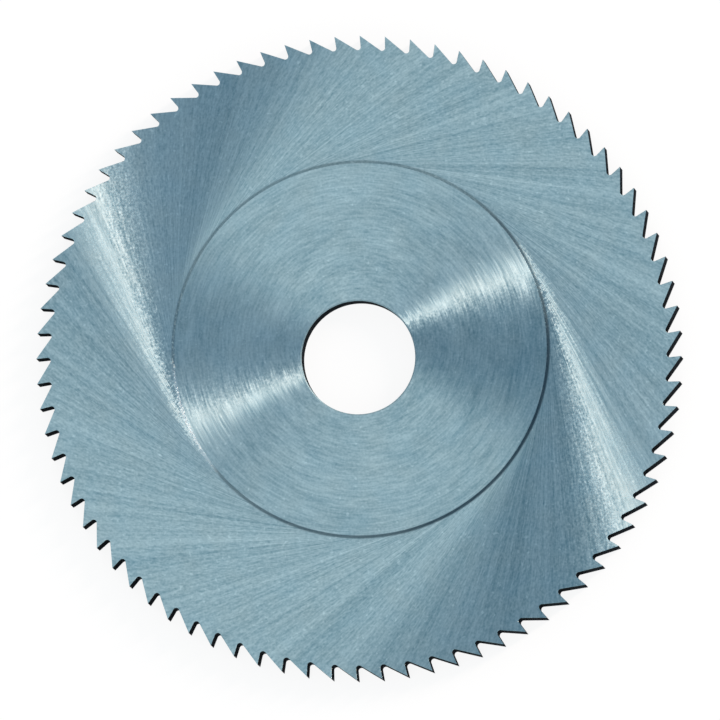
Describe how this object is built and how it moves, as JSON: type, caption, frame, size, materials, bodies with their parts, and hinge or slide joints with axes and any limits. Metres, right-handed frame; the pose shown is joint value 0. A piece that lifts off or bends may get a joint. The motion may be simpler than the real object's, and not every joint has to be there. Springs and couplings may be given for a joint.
{
  "type": "slitting saw",
  "caption": "Flat round slitting saw for metal, with fine angular teeth, hollow-ground sides, raised hub faces and a plain chamfered bore for an arbor.",
  "frame": {"origin": "centre of the bore, on the plane of the lower hub face and the lower tooth tips", "axes": "+Z along the bore axis, up out of the face that the picture shows; +X through a tooth tip, to the right in the picture; +Y up in the picture"},
  "size_m": [0.125, 0.125, 0.006],
  "materials": {
    "ground_steel": "high speed steel, bright and ground, with the fine straight marks of the grinding wheel on the ring and round marks on the hub"
  },
  "bodies": {
    "root": {"saw_blade": "ground_steel"}
  },
  "joints": []
}
